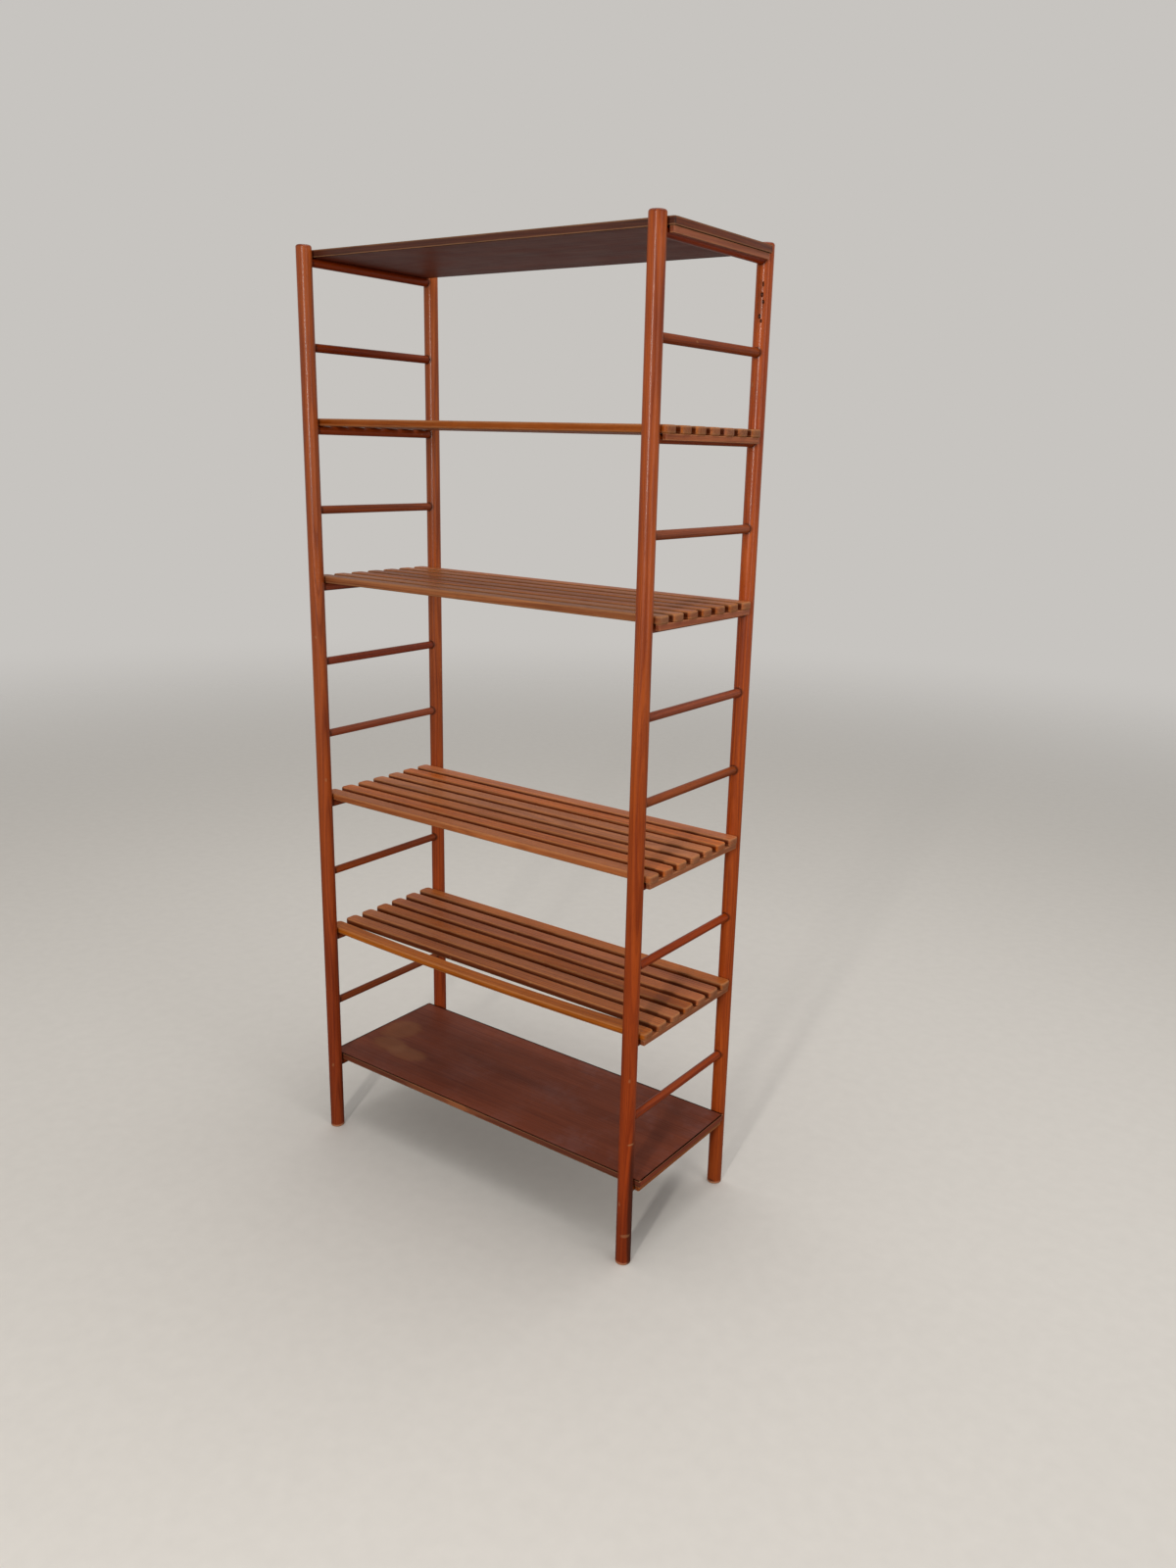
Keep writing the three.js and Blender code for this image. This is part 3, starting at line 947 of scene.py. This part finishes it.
for side, side_sign in SIDES.items():
    for end, end_sign in ENDS.items():
        cad = f"post_{end}_{side}"
        axis = Vector((LADDER_X * side_sign, POST_Y * end_sign, 0))
        post, _ = turned_rod(f"{end}_{side}_post", post_profile(), POST_SIDES)
        gouges = GOUGES if cad == GOUGED_POST else ()
        cut_away(post, socket_cutter(-end_sign, SOCKET_DEPTH, gouges))
        post.data.shade_smooth()
        post.data.set_sharp_from_angle(angle=POST_SHARP_ABOVE)
        round_normals(post.data)
        edges = []
        for vertex in post.data.vertices:
            to_foot = vertex.co.z - FOOT_CHAMFER
            edges.append(max(0.0, 1 - abs(to_foot) / FOOT_WEAR))
        post.data.transform(Matrix.Translation(axis))
        mark_wood(post, "Z", edges, random.Random(cad).uniform(0, math.pi),
                  POST_PAINTED_LIGHT.get(cad, 0.0))
        add_piece(post, "ladders", [cad], "post_wood", post_finish)
        print(post.name, len(post.data.polygons), "faces")

# %% [markdown]
# ## The slatted decks
# Seven slats lie across two battens. The CAD model joins the front slat, the rear slat and the
# battens into one outer frame, as they are glued, and keeps the slats between them as nodes.
# Here every slat and batten is its own piece. Their ends are rounded in plan, and the slats
# differ a little in length and width. The inner ones also sit a little off their places and off
# square.
#
# The front slat of the lower deck is bowed: its middle stands forward of the next slat, so that
# a gap shows behind it, and is slimmer. A lattice could bend it. Cutting it across its length and
# moving the points along a parabola is simpler and leaves it in place over the ladders. The bow
# and the shades are listed below. The shades of whole decks and of the front slats are painted
# light: they make a deck or a front edge lighter or darker for the light and sheen that fall on
# it at its height. The shades of single slats are their wood's own tone.

# %% Helpers: bow a slat and add a batten
SLAT_CORNER = 9 * MM
SLAT_EASING = 3 * MM
BATTEN_WIDTH = 10 * MM
BATTEN_HEIGHT = 11 * MM
BATTEN_CORNER = 2 * MM
BATTEN_EASING = 0.6 * MM
BATTEN_INSET = 3 * MM
BATTEN_PLAY = 1 * MM  # between a batten and the rung beside it
GLUE_GAP = 0.05 * MM
# Painted light: whole decks and front slats are made lighter or darker for the light at their
# height. The odd single slats differ in their own wood.
DECK_PAINTED_LIGHT = {"lower": 0.8, "middle": 2.5, "upper": -1.0, "high": -3.0}
FRONT_PAINTED_LIGHT = {"lower": -0.6, "middle": 0.0, "upper": -7.0, "high": -6.5}
ODD_SLAT_SHADE = {"upper_slat_3": -1.5, "upper_slat_4": -4.0, "middle_slat_5": 2.0,
                  "middle_slat_6": 2.5}
# Painted light: all battens are made lighter for the light that falls on the right ones.
BATTEN_PAINTED_LIGHT = 2.0
BOWED_SLAT = "lower_slat_1"
BOW_FORWARD = 8 * MM
BOW_DOWN = 2 * MM
BOW_NARROWER = 3 * MM
BOW_THINNER = 1 * MM
BOW_CUTS = 24
CUT_STRETCH = 0.96  # the share of the length that is cut


def bow(mesh, length, centre_y, centre_z):
    """Cuts the slat across its length, bends its middle forward and a little down, and slims it."""
    shape = bmesh.new()
    shape.from_mesh(mesh)
    for cut in range(1, BOW_CUTS):
        everything = shape.verts[:] + shape.edges[:] + shape.faces[:]
        bmesh.ops.bisect_plane(shape, geom=everything, plane_no=(1, 0, 0),
                               plane_co=((cut / BOW_CUTS - 0.5) * CUT_STRETCH * length, 0, 0))
    for vertex in shape.verts:
        bend = max(0.0, 1 - (vertex.co.x / LADDER_X) ** 2)
        at_rear, below = vertex.co.y > centre_y, vertex.co.z < centre_z
        vertex.co.y -= (BOW_FORWARD + BOW_NARROWER * at_rear) * bend
        vertex.co.z -= (BOW_DOWN - BOW_THINNER * below) * bend
    shape.to_mesh(mesh)
    shape.free()


def add_batten(name, body, cad, side_sign, slot, underside, depth):
    """A batten under the end of a shelf whose boards start at underside."""
    x = LADDER_X + RUNG_RADIUS + BATTEN_PLAY + BATTEN_WIDTH / 2
    batten, edges = eased_board(name, depth - 2 * BATTEN_INSET, BATTEN_WIDTH,
                                BATTEN_HEIGHT - GLUE_GAP, BATTEN_CORNER, BATTEN_EASING)
    place_board(batten, edges, (side_sign * x, 0), underside - BATTEN_HEIGHT, "Y",
                shade=BATTEN_PAINTED_LIGHT)
    add_piece(batten, body, [cad], slot, batten_finish)


# %% Make the decks
# How far a slat may differ, in millimetres.
SHORTER_LOW, SHORTER_HIGH = 0.2, 1.6
NARROWER = 0.5
OFF_PLACE = 0.4
OFF_CENTRE = 0.3
OFF_SQUARE = 0.0006  # radians

for deck in DECKS:
    body = f"{deck}_shelf"
    low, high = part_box(f"{deck}_deck_frame")
    slat_low, slat_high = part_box(f"{deck}_deck_slat_2")
    width = slat_high.y - slat_low.y
    thickness = slat_high.z - slat_low.z
    pitch = (high.y - low.y - width) / (SLAT_COUNT - 1)
    for index in range(SLAT_COUNT):
        outer = index in (0, SLAT_COUNT - 1)
        cad = f"{deck}_deck_frame" if outer else f"{deck}_deck_slat_{index + 1}"
        draw = random.Random(f"{deck} slat {index}")
        length = high.x - low.x - draw.uniform(SHORTER_LOW, SHORTER_HIGH) * MM
        slat, edges = eased_board(f"{deck}_slat_{index + 1}", length,
                                  width - draw.uniform(0, NARROWER) * MM, thickness,
                                  SLAT_CORNER, SLAT_EASING)
        shift = 0.0 if outer else draw.uniform(-OFF_PLACE, OFF_PLACE) * MM
        turn = 0.0 if outer else draw.uniform(-OFF_SQUARE, OFF_SQUARE)
        centre = (draw.uniform(-OFF_CENTRE, OFF_CENTRE) * MM,
                  low.y + width / 2 + index * pitch + shift)
        mark_gap_sides(slat.data, width, thickness, index > 0, index < SLAT_COUNT - 1)
        # Decks and front slats get painted light, odd slats their wood's own tone.
        shade = DECK_PAINTED_LIGHT[deck] if index else FRONT_PAINTED_LIGHT[deck]
        shade += ODD_SLAT_SHADE.get(slat.name, 0.0)
        place_board(slat, edges, centre, slat_low.z, "X", turn, draw.uniform(0, math.pi), shade)
        if slat.name == BOWED_SLAT:
            bow(slat.data, length, centre[1], slat_low.z + thickness / 2)
        add_piece(slat, body, [cad], "slat_wood", slat_finish)
    for side, side_sign in SIDES.items():
        add_batten(f"{deck}_batten_{side}", body, f"{deck}_deck_frame", side_sign, "slat_wood",
                   slat_low.z, high.y - low.y)
print(piece_count["slat_wood"], "slats and deck battens")

# %% [markdown]
# ## The solid shelves
# A panel is a veneered board with a thin lipping of solid wood on each edge. One board with a
# painted edge would be quicker, but it would have no seam. The front and rear lippings run the
# whole length here, and the end ones fit between them, so that the front shows no joint.

# %% Make the panels
LIPPING = 3 * MM
# Painted light: the top shelf's front lipping is darker for its shade, the bottom shelf's front
# lipping a little darker, and its right lipping much lighter, partly from wear and partly for the
# light from the right.
LIPPING_PAINTED_LIGHT_AND_WEAR = {"bottom_lipping_right": 16.0, "top_lipping_front": -11.0,
                 "bottom_lipping_front": -1.0}
# Painted light: the top board is made lighter for the light its underside gets from below.
TOP_BOARD_PAINTED_LIGHT = 4.0
PANEL_EASING = 0.6 * MM
LIPPING_CORNER = 1 * MM
SQUARE_CORNER = 0.2 * MM
BOARD_EASING = 0.1 * MM
SEAM = 0.04 * MM

for panel in PANELS:
    body = f"{panel}_shelf"
    cad = f"{panel}_panel"
    low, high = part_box(cad)
    length, depth, thickness = high - low
    board, edges = eased_board(f"{panel}_board", length - 2 * LIPPING, depth - 2 * LIPPING,
                               thickness, SQUARE_CORNER, BOARD_EASING)
    place_board(board, [0.0] * len(edges), (0, 0), low.z,
                shade=TOP_BOARD_PAINTED_LIGHT if panel == "top" else 0.0)
    add_piece(board, body, [cad], "panel_veneer", veneer_finish)
    for end, sign in ENDS.items():
        strip, edges = eased_board(f"{panel}_lipping_{end}", length, LIPPING - SEAM, thickness,
                                   LIPPING_CORNER, PANEL_EASING)
        place_board(strip, edges, (0, sign * (depth - LIPPING + SEAM) / 2), low.z,
                    shade=LIPPING_PAINTED_LIGHT_AND_WEAR.get(strip.name, 0.0))
        add_piece(strip, body, [cad], "panel_veneer", lipping_finish)
    for side, sign in SIDES.items():
        strip, edges = eased_board(f"{panel}_lipping_{side}", depth - 2 * LIPPING - 2 * SEAM,
                                   LIPPING - SEAM, thickness, SQUARE_CORNER, PANEL_EASING)
        place_board(strip, edges, (sign * (length - LIPPING + SEAM) / 2, 0), low.z, "Y",
                    shade=LIPPING_PAINTED_LIGHT_AND_WEAR.get(strip.name, 0.0))
        add_piece(strip, body, [cad], "panel_veneer", lipping_finish)
        add_batten(f"{panel}_batten_{side}", body, f"{cad}_batten_{side}", sign, "batten_wood",
                   low.z, depth)
print(piece_count)

# %% [markdown]
# ## The studio
# The shelf stands on a plain pale floor that fades into an even pale background, so it can be
# looked at from any side. A wall would give a truer room, but it would block some of the sides.
#
# A pale floor and background also throw light back, and here more than a furnished room would.
# So a Light Path node shows them pale to the camera, and lets them count as darker when they
# light the wood. Undersides and gaps keep their shade that way.

# %% Floor
FLOOR_RADIUS = 9.0
FLOOR_RINGS = 12
FLOOR_SIDES = 48
FADE_FROM, FADE_TO = 2.5, 8.0
FLOOR_PALE, FLOOR_PALER = linear(222, 219, 214), linear(230, 227, 222)
FLOOR_AS_LIGHT = linear(110, 106, 101)

ring_points = [(0.0, 0.0, 0.0)]
ring_faces = []
for ring_index in range(1, FLOOR_RINGS + 1):
    radius = FLOOR_RADIUS * ring_index / FLOOR_RINGS
    for i in range(FLOOR_SIDES):
        angle = 2 * math.pi * i / FLOOR_SIDES
        ring_points.append((radius * math.cos(angle), radius * math.sin(angle), 0.0))
for i in range(FLOOR_SIDES):
    following = (i + 1) % FLOOR_SIDES
    ring_faces.append((0, 1 + i, 1 + following))
    for ring_index in range(FLOOR_RINGS - 1):
        a = 1 + ring_index * FLOOR_SIDES
        ring_faces.append((a + i, a + i + FLOOR_SIDES, a + following + FLOOR_SIDES, a + following))
floor = mesh_object("floor", ring_points, ring_faces)

floor_material = bpy.data.materials.new("Pale floor")
floor_material.use_nodes = True
tree = floor_material.node_tree
tree.nodes.clear()
place = node(tree, "ShaderNodeTexCoord").outputs["Object"]
mottle = noise(tree, place, scale=30.0, detail=4.0)
mottle = mix_colour(tree, mottle, FLOOR_PALE, FLOOR_PALER)
straight = node(tree, "ShaderNodeLightPath").outputs["Is Camera Ray"]
mottle = mix_colour(tree, straight, FLOOR_AS_LIGHT, mottle)
paint = node(tree, "ShaderNodeBsdfPrincipled", {"Base Color": mottle, "Roughness": 0.7,
                                                "Specular IOR Level": 0.2})
clear = node(tree, "ShaderNodeBsdfTransparent")
distance = node(tree, "ShaderNodeVectorMath", {0: place}, operation="LENGTH").outputs["Value"]
faded = fade(tree, distance, FADE_FROM, FADE_TO)
fading = node(tree, "ShaderNodeMixShader", {0: faded, 1: paint.outputs[0], 2: clear.outputs[0]})
node(tree, "ShaderNodeOutputMaterial", {"Surface": fading.outputs[0]})
floor.data.materials.append(floor_material)
print("floor", FLOOR_RADIUS, "m in radius, gone by", FADE_TO, "m")

# %% Background
BACKDROP_COLOUR = linear(199, 196, 192)
ROOM_STRENGTH = 0.72

world = bpy.data.worlds.new("Pale room")
world.use_nodes = True
tree = world.node_tree
tree.nodes.clear()
seen = node(tree, "ShaderNodeBackground", {"Color": BACKDROP_COLOUR, "Strength": 1.0})
felt = node(tree, "ShaderNodeBackground", {"Color": BACKDROP_COLOUR, "Strength": ROOM_STRENGTH})
straight = node(tree, "ShaderNodeLightPath").outputs["Is Camera Ray"]
shown = node(tree, "ShaderNodeMixShader", {0: straight, 1: felt.outputs[0], 2: seen.outputs[0]})
node(tree, "ShaderNodeOutputWorld", {"Surface": shown.outputs[0]})
bpy.context.scene.world = world
print("background at", ROOM_STRENGTH, "of its strength as a light")

# %% [markdown]
# ## The lights
# A single sun lamp would give hard shadows. Area lights are softer, and each is named for what it
# stands for. A tall, narrow window is in front and a little to the right, so that it draws a fine
# bright line down each post. A weaker light opens up the shade on the right, and a wide one hangs
# over the shelf. All are aimed at the middle of the shelf.

# %% Lights
SHELF_MIDDLE = Vector((0, 0, 1.0))


def soft_light(name, place, width, height, watts, colour):
    light = bpy.data.lights.new(name, "AREA")
    light.shape = "RECTANGLE"
    light.size = width
    light.size_y = height
    light.energy = watts
    light.color = colour
    obj = bpy.data.objects.new(name, light)
    obj.location = place
    obj.rotation_euler = (SHELF_MIDDLE - Vector(place)).to_track_quat("-Z", "Y").to_euler()
    bpy.context.scene.collection.objects.link(obj)
    print("light", name, watts, "W")


soft_light("window", (1.35, -4.0, 1.9), 0.22, 1.3, 60, (1.0, 0.96, 0.9))
soft_light("right_fill", (4.2, -0.6, 1.7), 1.6, 2.2, 19, (1.0, 0.97, 0.94))
soft_light("ceiling", (0.3, 0.2, 4.2), 3.0, 3.0, 70, (1.0, 0.98, 0.96))

# %% [markdown]
# ## The camera
# The camera stands at eye height, off the right front corner, and looks a little down and to the
# left, with a wide lens and a slight roll. Its place is a plain number here and isn't worked out
# from the shelf, because a viewer stands where they like.

# %% Camera
EYE = Vector((1.600, -1.922, 1.584))
YAW, PITCH, ROLL = (math.radians(angle) for angle in (34.878, 15.725, -1.703))
LENS_MM, SENSOR_MM = 27.853, 36
SHIFT_X, SHIFT_Y = -0.0219, 0.0033

camera_data = bpy.data.cameras.new("camera")
camera_data.sensor_width = SENSOR_MM
camera_data.lens = LENS_MM
camera_data.shift_x = SHIFT_X
camera_data.shift_y = SHIFT_Y
camera = bpy.data.objects.new("camera", camera_data)
bpy.context.scene.collection.objects.link(camera)
turn = Matrix.Rotation(YAW, 3, "Z") @ Matrix.Rotation(math.pi / 2 - PITCH, 3, "X")
turn = turn @ Matrix.Rotation(-ROLL, 3, "Z")
camera.rotation_euler = turn.to_euler()
camera.location = EYE
bpy.context.scene.camera = camera
bpy.context.scene.view_settings.view_transform = "Standard"
print("camera", LENS_MM, "mm lens,", round((EYE - SHELF_MIDDLE).length, 2), "m from the shelf")
